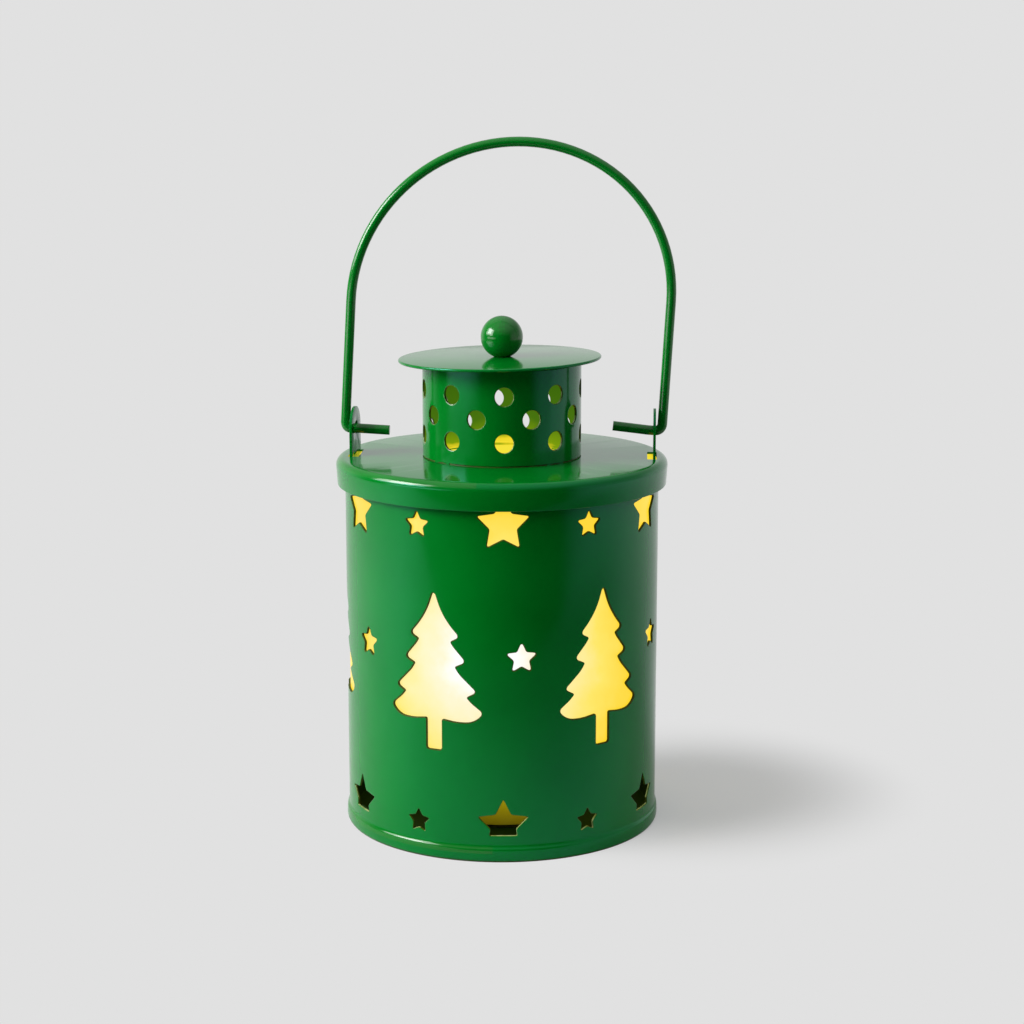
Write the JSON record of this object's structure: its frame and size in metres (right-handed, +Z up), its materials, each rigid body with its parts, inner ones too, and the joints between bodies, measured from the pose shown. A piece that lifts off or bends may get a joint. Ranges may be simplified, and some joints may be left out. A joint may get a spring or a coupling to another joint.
{
  "type": "led candle lantern",
  "caption": "Round tin lantern pierced with trees and stars, with a vented chimney lid, a swinging wire bail and a battery candle inside that lights the cut-outs.",
  "frame": {"origin": "centre of the foot, on the surface that the lantern stands on", "axes": "+Z up along the lantern's axis; the bail's ears lie on X, with the hinge along X; the front faces -Y"},
  "size_m": [0.0799, 0.079, 0.1636],
  "materials": {
    "green_enamel": "gloss green enamel on tin sheet and wire",
    "yellow_film": "frosted translucent film",
    "ivory_plastic": "satin wax-like plastic",
    "white_plastic": "satin",
    "black_plastic": "satin",
    "flame_plastic": "translucent, lit from inside",
    "clear_plastic": "clear lamp resin",
    "dark_foam": "adhesive foam",
    "plain_steel": "bright steel",
    "spring_brass": "bright strip"
  },
  "bodies": {
    "lantern": {"body_shell": "green_enamel", "base_pan": "green_enamel", "diffuser_sleeve": "yellow_film", "lid_pan": "green_enamel", "bail_ear_left": "green_enamel", "bail_ear_right": "green_enamel", "chimney_collar": "green_enamel", "chimney_cap": "green_enamel", "ball_knob": "green_enamel", "knob_screw": "plain_steel", "candle_pad": "dark_foam", "candle_shell": "ivory_plastic", "candle_base": "white_plastic", "coin_cell": "plain_steel", "negative_contact": "spring_brass", "positive_contact": "spring_brass", "lamp_terminal": "spring_brass", "led_lamp": "clear_plastic", "lead_negative": "plain_steel", "lead_positive": "plain_steel", "flame_tip": "flame_plastic"},
    "bail": {"bail_handle": "green_enamel"},
    "switch": {"switch_slider": "black_plastic", "switch_bridge": "spring_brass"},
    "cover": {"battery_cover": "white_plastic"}
  },
  "joints": [
    {"name": "bail_swing", "type": "hinge", "parent": "lantern", "child": "bail", "pos_m": [0, 0, 0.095], "axis": [1, 0, 0], "range_deg": [-110, 110]},
    {"name": "switch_slide", "type": "slide", "parent": "lantern", "child": "switch", "axis": [0, -1, 0], "range_m": [0, 0.0025]},
    {"name": "cover_twist", "type": "hinge", "parent": "lantern", "child": "cover", "pos_m": [-0.0042, 0, 0.0026], "axis": [0, 0, -1], "range_deg": [0, 40]}
  ]
}
